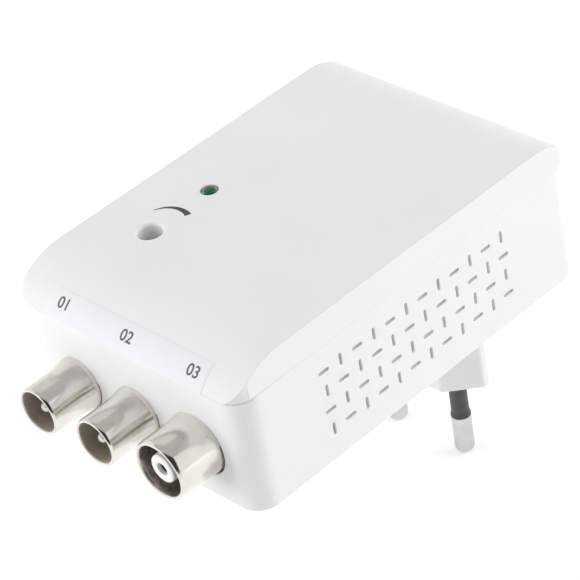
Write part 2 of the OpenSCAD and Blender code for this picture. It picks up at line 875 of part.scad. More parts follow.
base_shell();
top_cover();
port_label();
plug_plinth();
plug_pin(-1);  // left_pin
plug_pin(1);  // right_pin
pin_sleeve(-1);  // left_sleeve
pin_sleeve(1);  // right_sleeve
output_shell(-port_pitch);  // output_1_shell
output_insulator(-port_pitch);  // output_1_insulator
output_pin(-port_pitch);  // output_1_pin
output_shell(0);  // output_2_shell
output_insulator(0);  // output_2_insulator
output_pin(0);  // output_2_pin
input_shell();
input_insulator();
input_socket();
main_board();
shield_frame();
shield_lid();
amplifier_chip();
splitter_core();
trimmer_body();
trimmer_rotor();
power_led();
led_leads();
mains_links();
fuse();
rectifier_diodes();
bulk_capacitor();
controller_chip();
transformer_core();
transformer_bobbin();
safety_capacitor();
output_capacitor();
case_screws();
board_screws();
plinth_screws();
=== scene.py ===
import math

import bmesh
import bpy
from mathutils import Matrix, Vector


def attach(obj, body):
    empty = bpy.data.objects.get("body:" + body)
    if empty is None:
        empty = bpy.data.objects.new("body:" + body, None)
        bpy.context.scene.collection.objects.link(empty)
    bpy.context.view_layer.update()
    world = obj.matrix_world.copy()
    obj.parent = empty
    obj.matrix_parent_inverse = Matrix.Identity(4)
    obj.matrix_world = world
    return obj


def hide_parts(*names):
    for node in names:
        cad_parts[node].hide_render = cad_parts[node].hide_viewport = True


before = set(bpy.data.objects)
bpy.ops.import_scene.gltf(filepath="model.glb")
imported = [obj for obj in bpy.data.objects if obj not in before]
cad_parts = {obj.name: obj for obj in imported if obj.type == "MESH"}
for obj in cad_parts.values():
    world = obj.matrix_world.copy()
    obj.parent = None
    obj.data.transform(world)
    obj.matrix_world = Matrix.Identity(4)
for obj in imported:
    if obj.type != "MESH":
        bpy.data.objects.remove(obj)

MM = 0.001

# Sizes of the part in millimetres, as the frame has them
HALF_WIDTH = 28.0
BASE_LENGTH = 84.4
BASE_HEIGHT = 24.2
COVER_HEIGHT = 6.0
CASE_TOP = BASE_HEIGHT + COVER_HEIGHT
WALL = 2.0
OVERHANG = 0.8
FRONT_ROLL = 15.6
BACK_ROLL = 11.0
COVER_CORNER = 4.2
BASE_CORNER = 5.0
BOTTOM_EDGE = 1.0
PLINTH_HEIGHT = 19.8
PLINTH_SCREW_X = 14.2
PIN_LINE = 65.8
PIN_ROOT = 18.6
PIN_TIP = 17.5
PIN_LENGTH = 19.4
PORT_PITCH = 15.0
PORT_Z = 11.1
OUTPUT_ROOT = 5.2
OUTPUT_RADIUS = 4.75
OUTPUT_BORE = 4.0
INPUT_HOLE = 6.3
INPUT_ROOT = 6.15
INPUT_RADIUS = 5.9
INPUT_BORE = 4.9
INPUT_REAR_BORE = 4.45
NOSE_RADIUS = 2.75
CONTACT_RADIUS = 1.2
CONTROL_X = -15.2
GAIN_Y = 21.9
LED_Y = 36.6
LED_PROUD = 0.4
LED_HEIGHT = 5.3

# Where to look for edges to round: the field of the vents, the height of the port holes, the reach of other
# holes, and how far inside the outline the underside's own edges lie
VENTS_Y = (15, 70)
VENTS_Z = (4, 22)
PORTS_Z = (3, 19)
HOLE_REACH = 3
UNDERSIDE_INSET = 1.5

# The label on the front roll: radius, half width, edges in degrees from the roll's top, depth of its print
LABEL_ROLL = 15.65
LABEL_HALF = 20.0
LABEL_TOP = 30.35
LABEL_LOW = 51.52
PRINT_DEPTH = 0.02

# The seam's opening: where it runs out along the sides, its share there, its turn about a corner in degrees,
# and the levels of the strips of wall that follow it
SEAM_STEPS = (6.5, 8.5, 11.0, 14.0, 17.5, 21.5)
SIDE_SHARE = 0.3
FULL_TURN = 56
FALL_TURN = 22
LAST_TURN = 110
BASE_STRIP = BASE_HEIGHT - 0.7
COVER_STRIP = BASE_HEIGHT + 0.5

# How near counts as the same place: in metres for the mesh tools, then in millimetres
WELD = 0.000002
FINE_WELD = 0.000001
ON_PLANE = 0.0000001
TOUCH = 0.01
NEAR = 0.02
ON_BASE = 0.05
ON_COVER = 0.06
ON_TOP = 0.08
CLOSE = 0.1

PIN_LEAN = (PIN_ROOT - PIN_TIP) / 2 / PIN_LENGTH
FRONT_FLAT = math.sqrt(2 * FRONT_ROLL * COVER_HEIGHT - COVER_HEIGHT ** 2) - OVERHANG
BACK_FLAT = BASE_LENGTH + OVERHANG - math.sqrt(2 * BACK_ROLL * COVER_HEIGHT - COVER_HEIGHT ** 2)

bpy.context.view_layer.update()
scene = bpy.context.scene
scene.view_settings.view_transform = "Standard"


def case_point(x, y, z):
    """A point of the case, from its front face and underside, in the part's frame."""
    return Vector((x * MM, (y - PIN_LINE) * MM, (z + PLINTH_HEIGHT) * MM))


def in_case(co):
    """The other way round: a point of the part's frame as case millimetres."""
    return co.x / MM, co.y / MM + PIN_LINE, co.z / MM - PLINTH_HEIGHT


# Materials


def new_material(name):
    """A material, with its nodes, its links and its main shader."""
    material = bpy.data.materials.new(name)
    material.use_nodes = True
    nodes, links = material.node_tree.nodes, material.node_tree.links
    return material, nodes, links, nodes["Principled BSDF"]


def own_space(nodes):
    """A place in the part's own space."""
    return nodes.new("ShaderNodeTexCoord").outputs["Object"]


def noise(nodes, links, scale, detail=3.0, stretch=None):
    """Noise in the part's own space, with its scale in waves a metre."""
    place = own_space(nodes)
    texture = nodes.new("ShaderNodeTexNoise")
    texture.inputs["Scale"].default_value = scale
    texture.inputs["Detail"].default_value = detail
    if stretch is not None:
        mapping = nodes.new("ShaderNodeMapping")
        mapping.inputs["Scale"].default_value = stretch
        links.new(place, mapping.inputs["Vector"])
        place = mapping.outputs["Vector"]
    links.new(place, texture.inputs["Vector"])
    return texture.outputs["Fac"]


def spread(nodes, links, value, low, high, start=0.3, end=0.7):
    """A value's range from start to end, mapped to low and high; without them, a noise's middle range."""
    node = nodes.new("ShaderNodeMapRange")
    node.inputs["From Min"].default_value = start
    node.inputs["From Max"].default_value = end
    node.inputs["To Min"].default_value = low
    node.inputs["To Max"].default_value = high
    links.new(value, node.inputs["Value"])
    return node.outputs["Result"]


def tint(nodes, links, value, first, second):
    """Two tones, blended over a noise's middle range."""
    ramp = nodes.new("ShaderNodeValToRGB")
    for element, position, colour in zip(ramp.color_ramp.elements, (0.35, 0.65), (first, second)):
        element.position = position
        element.color = (*colour, 1)
    links.new(value, ramp.inputs["Fac"])
    return ramp.outputs["Color"]


def calculate(nodes, links, operation, first, second=None):
    """A sum on one or two values."""
    node = nodes.new("ShaderNodeMath")
    node.operation = operation
    links.new(first, node.inputs[0])
    if second is not None:
        links.new(second, node.inputs[1])
    return node.outputs[0]


def vector_sum(nodes, links, operation, vector, by=(0, 0, 0), result="Vector"):
    """A sum on a vector."""
    node = nodes.new("ShaderNodeVectorMath")
    node.operation = operation
    node.inputs[1].default_value = by
    links.new(vector, node.inputs[0])
    return node.outputs[result]


def colour_mix(nodes, links, share):
    """A blend of two colours: the sockets for both, and its result."""
    mix = nodes.new("ShaderNodeMix")
    mix.data_type = "RGBA"
    links.new(share, mix.inputs["Factor"])
    return mix.inputs[6], mix.inputs[7], mix.outputs[2]


def bump(nodes, links, value, depth, strength, bsdf):
    """Fine relief on a shader."""
    node = nodes.new("ShaderNodeBump")
    node.inputs["Strength"].default_value = strength
    node.inputs["Distance"].default_value = depth
    links.new(value, node.inputs["Height"])
    links.new(node.outputs["Normal"], bsdf.inputs["Normal"])


def surface(name, first, second, patch, rough, grain, depth, strength=0.4, metallic=0.0, stretch=None):
    """A material whose colour drifts between two tones, with its own roughness and fine grain."""
    material, nodes, links, bsdf = new_material(name)
    cloud = noise(nodes, links, patch, detail=4.0)
    fine = noise(nodes, links, grain, detail=2.0, stretch=stretch)
    links.new(tint(nodes, links, cloud, first, second), bsdf.inputs["Base Color"])
    links.new(spread(nodes, links, fine, *rough), bsdf.inputs["Roughness"])
    bump(nodes, links, fine, depth, strength, bsdf)
    bsdf.inputs["Metallic"].default_value = metallic
    return material


case_white = surface("case_white", (0.850, 0.853, 0.858), (0.868, 0.870, 0.875), patch=60,
                     rough=(0.36, 0.50), grain=3200, depth=0.00003, strength=0.25)
label_film = surface("label_film", (0.838, 0.843, 0.866), (0.850, 0.855, 0.876), patch=80,
                     rough=(0.28, 0.36), grain=2200, depth=0.00001, strength=0.2)
nickel = surface("nickel", (0.72, 0.705, 0.655), (0.78, 0.765, 0.72), patch=260,
                 rough=(0.14, 0.22), grain=1500, depth=0.000008, strength=0.3, metallic=1.0)
# The crown of each lip gets a lighter, partly metallic copy of the nickel: a painted highlight, with a
# rougher finish as well.
nickel_lip_highlight = surface("nickel_lip_highlight", (0.80, 0.785, 0.74), (0.85, 0.835, 0.79), patch=400,
                     rough=(0.38, 0.5), grain=1500, depth=0.000008, strength=0.3, metallic=0.55)
output_inside = surface("output_inside", (0.41, 0.36, 0.295), (0.48, 0.42, 0.345), patch=500,
                        rough=(0.55, 0.7), grain=1500, depth=0.00001, strength=0.3, metallic=0.3)
input_inside = surface("input_inside", (0.32, 0.29, 0.255), (0.56, 0.52, 0.46), patch=900,
                       rough=(0.24, 0.4), grain=1500, depth=0.00001, strength=0.3, metallic=0.85)
pin_nickel = surface("pin_nickel", (0.56, 0.57, 0.54), (0.62, 0.63, 0.60), patch=300,
                     rough=(0.2, 0.28), grain=2600, depth=0.000005, strength=0.2, metallic=1.0)
sleeve_black = surface("sleeve_black", (0.049, 0.049, 0.051), (0.066, 0.066, 0.068), patch=500,
                       rough=(0.38, 0.52), grain=4000, depth=0.00002)
insulator_brown = surface("insulator_brown", (0.36, 0.29, 0.23), (0.42, 0.34, 0.27), patch=500,
                          rough=(0.4, 0.55), grain=3000, depth=0.00002)
contact = surface("contact_plated", (0.42, 0.42, 0.48), (0.52, 0.51, 0.55), patch=700,
                  rough=(0.25, 0.4), grain=2500, depth=0.00001, strength=0.3, metallic=1.0)
board_green = surface("board_green", (0.022, 0.10, 0.045), (0.03, 0.13, 0.06), patch=900,
                      rough=(0.3, 0.42), grain=1600, depth=0.00003, strength=0.5)
tin = surface("tin_sheet", (0.56, 0.57, 0.58), (0.64, 0.65, 0.66), patch=220,
              rough=(0.26, 0.42), grain=1400, depth=0.00001, strength=0.4, metallic=1.0)
ferrite = surface("ferrite", (0.035, 0.035, 0.038), (0.06, 0.06, 0.064), patch=900,
                  rough=(0.5, 0.7), grain=2600, depth=0.00005, strength=0.6)
black_plastic = surface("black_plastic", (0.022, 0.022, 0.024), (0.035, 0.035, 0.038), patch=600,
                        rough=(0.42, 0.6), grain=3600, depth=0.00003, strength=0.5)
trimmer_blue = surface("trimmer_blue", (0.022, 0.075, 0.30), (0.03, 0.095, 0.36), patch=700,
                       rough=(0.36, 0.5), grain=3200, depth=0.00002)
rotor_ivory = surface("rotor_ivory", (0.66, 0.62, 0.50), (0.72, 0.68, 0.56), patch=700,
                      rough=(0.4, 0.55), grain=3000, depth=0.00002)
winding_tape = surface("winding_tape", (0.52, 0.36, 0.035), (0.60, 0.43, 0.05), patch=500,
                       rough=(0.25, 0.4), grain=1200, depth=0.00004, strength=0.5, stretch=(0.15, 0.15, 1.0))
copper = surface("copper_wire", (0.60, 0.30, 0.16), (0.68, 0.36, 0.20), patch=900,
                 rough=(0.25, 0.4), grain=2600, depth=0.00001, strength=0.3, metallic=1.0)
fuse_brown = surface("fuse_brown", (0.10, 0.055, 0.03), (0.14, 0.075, 0.04), patch=600,
                     rough=(0.4, 0.55), grain=3000, depth=0.00002)
can_black = surface("can_sleeve", (0.018, 0.020, 0.03), (0.028, 0.030, 0.042), patch=500,
                    rough=(0.2, 0.32), grain=2000, depth=0.00002)
zinc = surface("zinc_screw", (0.42, 0.43, 0.45), (0.52, 0.53, 0.54), patch=800,
               rough=(0.28, 0.45), grain=2400, depth=0.00001, strength=0.4, metallic=1.0)
print_grey = surface("print_grey", (0.10, 0.10, 0.11), (0.15, 0.15, 0.16), patch=2500,
                     rough=(0.45, 0.6), grain=5000, depth=0.00001)
print_black = surface("print_black", (0.045, 0.043, 0.05), (0.075, 0.072, 0.08), patch=2500,
                      rough=(0.45, 0.6), grain=5000, depth=0.00001)


def soften(material, weight, reach, behind, below):
    """Lets light pass a little way into a plastic, behind the label on the front and below the seam.

    Both limits are pairs of case millimetres, over which the effect comes in or fades out."""
    nodes, links = material.node_tree.nodes, material.node_tree.links
    bsdf = nodes["Principled BSDF"]
    split = nodes.new("ShaderNodeSeparateXYZ")
    links.new(own_space(nodes), split.inputs[0])
    from_front = [case_point(0, y, 0).y for y in behind]
    to_seam = [case_point(0, 0, z).z for z in below]
    rise = spread(nodes, links, split.outputs["Y"], 0.0, weight, *from_front)
    fade = spread(nodes, links, split.outputs["Z"], 1.0, 0.0, *to_seam)
    links.new(calculate(nodes, links, "MULTIPLY", rise, fade), bsdf.inputs["Subsurface Weight"])
    bsdf.inputs["Subsurface Radius"].default_value = (1.0, 0.95, 0.9)
    bsdf.inputs["Subsurface Scale"].default_value = reach


soften(case_white, weight=0.6, reach=0.0011, behind=(8, 15), below=(21.6, 23.2))


def nose_material():
    """White nose in the middle of the input, on a brown disc."""
    material, nodes, links, bsdf = new_material("input_insulator")
    nose_edge = (0.00282, 0.00290)
    offset = vector_sum(nodes, links, "SUBTRACT", own_space(nodes), case_point(PORT_PITCH, 0, PORT_Z))
    across = vector_sum(nodes, links, "MULTIPLY", offset, (1, 0, 1))
    reach = vector_sum(nodes, links, "LENGTH", across, result="Value")
    cloud = noise(nodes, links, 500)
    fine = noise(nodes, links, 3500, detail=2.0)
    nose, disc, colour = colour_mix(nodes, links, spread(nodes, links, reach, 0.0, 1.0, *nose_edge))
    links.new(tint(nodes, links, cloud, (0.82, 0.82, 0.80), (0.87, 0.87, 0.85)), nose)
    links.new(tint(nodes, links, cloud, (0.06, 0.042, 0.03), (0.09, 0.065, 0.045)), disc)
    links.new(colour, bsdf.inputs["Base Color"])
    links.new(spread(nodes, links, fine, 0.35, 0.5), bsdf.inputs["Roughness"])
    bump(nodes, links, fine, depth=0.00002, strength=0.4, bsdf=bsdf)
    return material


insulator_white = nose_material()


def led_material():
    """Green resin with painted highlights: paler flecks at its left and right sides, along the line across
    the view.
    """
    material, nodes, links, bsdf = new_material("led_green")
    # Painted highlights: the paler tone stands in for reflections on the dome's left and right sides as the
    # camera sees it.
    painted_highlight_line = (0.62, 0.78, 0)
    painted_highlight_edge = (0.0008, 0.0013)
    cloud = noise(nodes, links, 1500)
    offset = vector_sum(nodes, links, "SUBTRACT", own_space(nodes), case_point(CONTROL_X, LED_Y, CASE_TOP))
    along = vector_sum(nodes, links, "DOT_PRODUCT", offset, painted_highlight_line, result="Value")
    rim = spread(nodes, links, calculate(nodes, links, "ABSOLUTE", along), 0.0, 1.0, *painted_highlight_edge)
    fleck = spread(nodes, links, noise(nodes, links, 2600, detail=2.0), 0.0, 1.0, start=0.42, end=0.58)
    # Mixes the painted highlight's paler colour into the resin at both sides.
    resin, painted_highlight, colour = colour_mix(nodes, links, calculate(nodes, links, "MULTIPLY", rim, fleck))
    links.new(tint(nodes, links, cloud, (0.006, 0.050, 0.024), (0.026, 0.115, 0.058)), resin)
    painted_highlight.default_value = (0.30, 0.42, 0.34, 1)
    links.new(colour, bsdf.inputs["Base Color"])
    links.new(spread(nodes, links, cloud, 0.08, 0.2), bsdf.inputs["Roughness"])
    bsdf.inputs["Coat Weight"].default_value = 0.12
    bsdf.inputs["Coat Roughness"].default_value = 0.06
    return material


led_green = led_material()

NODE_MATERIALS = {
    "base_shell": case_white, "top_cover": case_white, "plug_plinth": case_white, "port_label": label_film,
    "left_pin": pin_nickel, "right_pin": pin_nickel,
    "left_sleeve": sleeve_black, "right_sleeve": sleeve_black,
    "output_1_shell": nickel, "output_2_shell": nickel, "input_shell": nickel,
    "output_1_insulator": insulator_brown, "output_2_insulator": insulator_brown,
    "output_1_pin": pin_nickel, "output_2_pin": pin_nickel,
    "input_insulator": insulator_white, "input_socket": contact, "main_board": board_green,
    "shield_frame": tin, "shield_lid": tin, "led_leads": tin, "amplifier_chip": black_plastic,
    "controller_chip": black_plastic, "rectifier_diodes": black_plastic, "splitter_core": ferrite,
    "transformer_core": ferrite, "transformer_bobbin": winding_tape, "trimmer_body": trimmer_blue,
    "safety_capacitor": trimmer_blue, "trimmer_rotor": rotor_ivory, "power_led": led_green,
    "mains_links": copper, "fuse": fuse_brown, "bulk_capacitor": can_black, "output_capacitor": can_black,
    "case_screws": zinc, "board_screws": zinc, "plinth_screws": zinc,
}
for name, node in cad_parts.items():
    for held in node.material_slots:
        held.material = NODE_MATERIALS[name]


# Tools for the pieces


def add_piece(name, mesh, materials, body, replaced=()):
    """Adds a piece to the part, with its body and the nodes that it replaces."""
    piece = bpy.data.objects.new(name, mesh)
    scene.collection.objects.link(piece)
    for material in materials:
        mesh.materials.append(material)
    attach(piece, body)
    if replaced:
        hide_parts(*replaced)
    return piece


def even_shading(piece):
    """Smooth shading in which each flat keeps its own direction up to its round edges."""
    piece.data.polygons.foreach_set("use_smooth", [True] * len(piece.data.polygons))
    modifier = piece.modifiers.new("even_shading", "WEIGHTED_NORMAL")
    modifier.weight = 60
    modifier.keep_sharp = True


def node_copy(node):
    """A clean copy of a node's mesh: joined corners, and one face for each flat."""
    mesh = bmesh.new()
    mesh.from_mesh(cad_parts[node].data)
    flat_within = math.radians(0.4)
    bmesh.ops.remove_doubles(mesh, verts=mesh.verts, dist=WELD)
    bmesh.ops.dissolve_limit(mesh, angle_limit=flat_within, verts=mesh.verts, edges=mesh.edges)
    for face in mesh.faces:
        face.material_index = 0
    for edge in mesh.edges:
        edge.smooth = True
    return mesh


def sharp_edges(mesh, angle):
    """Edges where two faces meet at more than that angle."""
    limit = math.radians(angle)
    return [e for e in mesh.edges if len(e.link_faces) == 2 and e.calc_face_angle(0.0) > limit]


def finished(mesh, name):
    """The mesh as data, without empty faces, and with the edges that were left square marked as such."""
    square = 70
    bmesh.ops.dissolve_degenerate(mesh, dist=FINE_WELD, edges=mesh.edges)
    for edge in sharp_edges(mesh, square):
        edge.smooth = False
    data = bpy.data.meshes.new(name)
    mesh.to_mesh(data)
    mesh.free()
    if "custom_normal" in data.attributes:
        data.attributes.remove(data.attributes["custom_normal"])
    return data


def cut(mesh, point, normal, clear=False, faces=None):
    """A row of edges where a plane crosses the mesh or some of its faces; clear drops what is beyond it."""
    if faces is None:
        crossed = mesh.verts[:] + mesh.edges[:] + mesh.faces[:]
    else:
        lines = dict.fromkeys(e for f in faces for e in f.edges)
        points = dict.fromkeys(v for f in faces for v in f.verts)
        crossed = [*points, *lines, *faces]
    bmesh.ops.bisect_plane(mesh, geom=crossed, dist=ON_PLANE, plane_co=point, plane_no=normal,
                           clear_outer=clear)


def round_edges(mesh, wanted, angle, width, segments):
    """Rounds the wanted ones of the edges that are sharper than that angle."""
    edges = [e for e in sharp_edges(mesh, angle)
             if wanted(e, *in_case((e.verts[0].co + e.verts[1].co) / 2))]
    if edges:
        bmesh.ops.bevel(mesh, geom=edges, offset=width * MM, offset_type="OFFSET", segments=segments,
                        profile=0.5, affect="EDGES", clamp_overlap=True)


def arc(across, along, radius, start, end, count, stretch=1.0):
    """Points of an arc in a profile, angles in degrees from the outward direction."""
    angles = [math.radians(start + (end - start) * k / count) for k in range(count + 1)]
    return [(across + radius * math.cos(a), along + stretch * radius * math.sin(a)) for a in angles]


def ring_vert(mesh, place, radius, angle, height):
    """A new point at a radius and an angle about an axis, and at a height along it."""
    across, deep = radius * MM * math.cos(angle), radius * MM * math.sin(angle)
    return mesh.verts.new(place @ Vector((across, deep, height * MM)))


def lathe(mesh, profile, place, bands=(), steps=96):
    """Turns a profile of (radius, height) points about an axis; each band starts the next material."""
    turns = [2 * math.pi * k / steps for k in range(steps)]
    rings = []
    for radius, height in profile:
        if radius == 0:
            rings.append([mesh.verts.new(place @ Vector((0, 0, height * MM)))])
        else:
            rings.append([ring_vert(mesh, place, radius, a, height) for a in turns])
    for row, (first, second) in enumerate(zip(rings, rings[1:])):
        for k in range(steps):
            after = (k + 1) % steps
            if len(first) == 1:
                face = mesh.faces.new((first[0], second[after], second[k]))
            elif len(second) == 1:
                face = mesh.faces.new((first[k], first[after], second[0]))
            else:
                face = mesh.faces.new((first[k], first[after], second[after], second[k]))
            face.smooth = True
            face.material_index = sum(row >= start for start in bands)


# The case


def cover_top(y):
    """Height of the cover's outside at a distance behind the base's front face."""
    if y < FRONT_FLAT:
        return CASE_TOP - FRONT_ROLL + math.sqrt(max(FRONT_ROLL ** 2 - (FRONT_FLAT - y) ** 2, 0.0))
    if y > BACK_FLAT:
        return CASE_TOP - BACK_ROLL + math.sqrt(max(BACK_ROLL ** 2 - (y - BACK_FLAT) ** 2, 0.0))
    return CASE_TOP


def outside(x, y, start, radius):
    """How far a point is outside the case's outline, which starts at that y; below 0 inside it."""
    end = BASE_LENGTH - start
    across = abs(x) - (HALF_WIDTH - radius)
    deep = max(start + radius - y, y - (end - radius))
    if across > 0 and deep > 0:
        return math.hypot(across, deep) - radius
    return max(across, deep) - radius


def on_cover(x, y):
    """Whether a point lies on the cover's outline."""
    return abs(outside(x, y, -OVERHANG, COVER_CORNER)) < ON_COVER


def roll_corners(mesh):
    """Carries the round of the lower edges on around the base's upright corners."""
    for vert in mesh.verts:
        x, y, z = in_case(vert.co)
        if z > BOTTOM_EDGE or z < -TOUCH:
            continue
        middle_x = math.copysign(HALF_WIDTH - BASE_CORNER, x)
        middle_y = BASE_CORNER if y < BASE_LENGTH / 2 else BASE_LENGTH - BASE_CORNER
        across, deep = x - middle_x, y - middle_y
        if across * middle_x <= 0 or deep * (middle_y - BASE_LENGTH / 2) <= 0:
            continue
        reach = math.hypot(across, deep)
        round_in = math.sqrt(max(BOTTOM_EDGE ** 2 - (BOTTOM_EDGE - z) ** 2, 0.0))
        limit = BASE_CORNER - BOTTOM_EDGE + round_in
        if limit < reach < BASE_CORNER + CLOSE:
            vert.co = case_point(middle_x + across * limit / reach, middle_y + deep * limit / reach, z)


def widen_hole(mesh):
    """Lets the wall's hole for the input stand off its shell on the right."""
    widest, direction, power = 0.26, math.radians(10), 1.5
    for vert in mesh.verts:
        x, y, z = in_case(vert.co)
        across, high = x - PORT_PITCH, z - PORT_Z
        reach = math.hypot(across, high)
        if -TOUCH < y < WALL + TOUCH and abs(reach - INPUT_HOLE) < ON_BASE:
            turn = math.atan2(high, across) - direction
            wider = 1 + widest * max(math.cos(turn), 0.0) ** power / reach
            vert.co = case_point(PORT_PITCH + across * wider, y, PORT_Z + high * wider)


def part_side(mesh, level):
    """Cuts a strip of each side wall, from that level to the seam, into steps for the seam's opening."""
    side = (HALF_WIDTH - CLOSE) * MM
    planes = [(case_point(0, 0, level), (0, 0, 1))]
    planes += [(case_point(0, y, 0), (0, 1, 0)) for y in SEAM_STEPS]
    for point, normal in planes:
        strip = [f for f in mesh.faces if all(abs(v.co.x) > side for v in f.verts)
                 and any(abs(in_case(v.co)[2] - BASE_HEIGHT) < TOUCH for v in f.verts)]
        cut(mesh, point, normal, faces=strip)


def ease(share):
    """A share from 0 to 1 that starts and ends gently."""
    share = min(max(share, 0.0), 1.0)
    return share * share * (3 - 2 * share)


def corner_share(x, y, start, radius):
    """1 around a front corner of the seam, down to 0 where it runs out along the side and the front."""
    if y > start + radius:
        left = max((SEAM_STEPS[-1] - y) / (SEAM_STEPS[-1] - start - radius), 0.0)
        return SIDE_SHARE * left * left
    turn = math.degrees(math.atan2(start + radius - y, abs(x) - (HALF_WIDTH - radius)))
    rise = SIDE_SHARE + (1 - SIDE_SHARE) * ease(turn / FULL_TURN)
    return rise * ease((LAST_TURN - turn) / FALL_TURN)


def open_corners(mesh, start, radius, low, high, tuck, lift):
    """Moves the outer edge at the seam inwards and up or down at the two front corners."""
    beside, depth = 20, 0.3
    for vert in mesh.verts:
        x, y, z = in_case(vert.co)
        at_edge = abs(x) > beside and outside(x, y, start, radius) > -depth
        if low < z < high and y < SEAM_STEPS[-1] and at_edge:
            share = corner_share(x, y, start, radius)
            middle = Vector((math.copysign(HALF_WIDTH - radius, x), start + radius))
            inward = (middle - Vector((x, y))).normalized() * tuck * share
            vert.co = case_point(x + inward.x, y + inward.y, z + lift * share)


def port_place(x):
    """From a port's own axis, outwards from the front face, to the part's frame."""
    turn = Matrix(((1, 0, 0), (0, 0, -1), (0, 1, 0))).to_4x4()
    return Matrix.Translation(case_point(x, 0, PORT_Z)) @ turn


def fill_gap(mesh, place, root):
    """A rim that closes the wall's hole on one side of a port, as the shell sits off the hole's middle."""
    start, end, steps = 18.75, 262.5, 65
    inner, outer, depth = root + 0.003, root + 0.148, -0.8
    round_edge = ((outer + 0.106, -0.006), (outer + 0.036, -0.036), (outer, -0.121))
    profile = ((inner, -0.005), *round_edge, (outer, depth), (inner, depth))
    turns = [math.radians(start + (end - start) * k / steps) for k in range(steps + 1)]
    rows = [[ring_vert(mesh, place, r, turn, h) for r, h in profile] for turn in turns]
    faces = [mesh.faces.new(rows[0]), mesh.faces.new(rows[-1])]
    for first, second in zip(rows, rows[1:]):
        for k in range(len(profile)):
            after = (k + 1) % len(profile)
            faces.append(mesh.faces.new((first[k], first[after], second[after], second[k])))
    bmesh.ops.recalc_face_normals(mesh, faces=faces)


def make_base():
    """The base with soft edges, a seam that opens at the front corners, and rims around the ports."""
    mesh = node_copy("base_shell")
    widen_hole(mesh)
    for level in (0.06, 0.2, 0.45, 0.75, BOTTOM_EDGE + TOUCH, BASE_STRIP):
        cut(mesh, case_point(0, 0, level), (0, 0, 1))
    roll_corners(mesh)
    part_side(mesh, BASE_STRIP)

    def vents(y, z):
        return VENTS_Y[0] < y < VENTS_Y[1] and VENTS_Z[0] < z < VENTS_Z[1]

    def vent_ends(edge, x, y, z):
        margin, most = 0.2, 0.99
        across = edge.verts[0].co - edge.verts[1].co
        in_wall = abs(x) > HALF_WIDTH - WALL - margin
        return vents(y, z) and in_wall and abs(across.x) > most * across.length

    def vent_rims(edge, x, y, z):
        return vents(y, z) and abs(x) > HALF_WIDTH - NEAR

    def seam(edge, x, y, z):
        return abs(z - BASE_HEIGHT) < NEAR and abs(outside(x, y, 0, BASE_CORNER)) < ON_BASE

    def underside(edge, x, y, z):
        return abs(z) < NEAR and outside(x, y, 0, BASE_CORNER) < -UNDERSIDE_INSET

    def port_holes(edge, x, y, z):
        return abs(y) < NEAR and PORTS_Z[0] < z < PORTS_Z[1]

    round_edges(mesh, vent_ends, angle=40, width=0.32, segments=4)
    round_edges(mesh, vent_rims, angle=40, width=0.12, segments=3)
    round_edges(mesh, seam, angle=40, width=0.13, segments=2)
    round_edges(mesh, underside, angle=40, width=0.25, segments=2)
    round_edges(mesh, port_holes, angle=40, width=0.12, segments=2)
    open_corners(mesh, start=0.0, radius=BASE_CORNER, low=BASE_HEIGHT - 0.2, high=BASE_HEIGHT + 0.05,
                 tuck=0.55, lift=-0.62)
    for x, root in ((-PORT_PITCH, OUTPUT_ROOT), (0.0, OUTPUT_ROOT), (PORT_PITCH, INPUT_ROOT)):
        fill_gap(mesh, port_place(x), root)
    data = finished(mesh, "base_moulding")
    even_shading(add_piece("base_moulding", data, [case_white], "case", ["base_shell"]))


def make_cover():
    """The cover with soft edges, and its side of the seam's opening."""
    mesh = node_copy("top_cover")
    part_side(mesh, COVER_STRIP)

    def upper(edge, x, y, z):
        return z > BASE_HEIGHT + CLOSE and on_cover(x, y) and abs(z - cover_top(y)) < ON_TOP

    def seam(edge, x, y, z):
        return abs(z - BASE_HEIGHT) < NEAR and on_cover(x, y)

    def led_rim(edge, x, y, z):
        return abs(z - CASE_TOP) < NEAR and math.hypot(x - CONTROL_X, y - LED_Y) < HOLE_REACH

    round_edges(mesh, upper, angle=25, width=0.6, segments=4)
    round_edges(mesh, seam, angle=25, width=0.11, segments=2)
    round_edges(mesh, led_rim, angle=25, width=0.15, segments=2)
    open_corners(mesh, start=-OVERHANG, radius=COVER_CORNER, low=BASE_HEIGHT - 0.05, high=BASE_HEIGHT + 0.2,
                 tuck=0.3, lift=0.0)
    data = finished(mesh, "cover_moulding")
    even_shading(add_piece("cover_moulding", data, [case_white], "case", ["top_cover"]))


def make_plinth():
    """The plug block with soft outer edges."""
    mesh = node_copy("plug_plinth")
    holes = (PIN_ROOT / 2, PLINTH_SCREW_X)

    def outer(edge, x, y, z):
        return z < -NEAR and all(math.hypot(abs(x) - at, y - PIN_LINE) > HOLE_REACH for at in holes)

    round_edges(mesh, outer, angle=25, width=0.4, segments=3)
    data = finished(mesh, "plug_block")
    even_shading(add_piece("plug_block", data, [case_white], "case", ["plug_plinth"]))


# Ports, pins and light

# Where a turned front takes over from its node, and each lip: radius, bore, height and stretch
PORT_CUT = 1.0
NOSE_CUT = 1.2
OUTPUT_LIP = (OUTPUT_RADIUS, OUTPUT_BORE, 9.598, 1.866)
INPUT_LIP = (INPUT_RADIUS, INPUT_BORE, 7.898, 2.4)

# Profiles of (radius, height) points: a pin's sleeve with its rim, and the light from its foot up
SLEEVE_PROFILE = (
    (1.5, -3.0), (1.7, -3.0), (1.75, -2.95), (1.75, 2.0), (1.75, 5.0), (1.75, 9.0), (1.755, 9.3),
    (1.775, 9.5), (1.82, 9.72), (1.88, 9.95), (1.94, 10.17), (1.965, 10.34), (1.955, 10.46), (1.91, 10.55),
    (1.84, 10.59), (1.5, 10.59),
)
LIGHT_PROFILE = (
    (0, 0), (1.85, 0), (1.9, 0.05), (1.9, 0.95), (1.85, 1.0), (1.65, 1.0), (1.6, 1.1), (1.6, 4.3),
    (1.57, 4.5), (1.48, 4.72), (1.32, 4.93), (1.1, 5.09), (0.8, 5.21), (0.4, 5.28), (0, LED_HEIGHT),
)


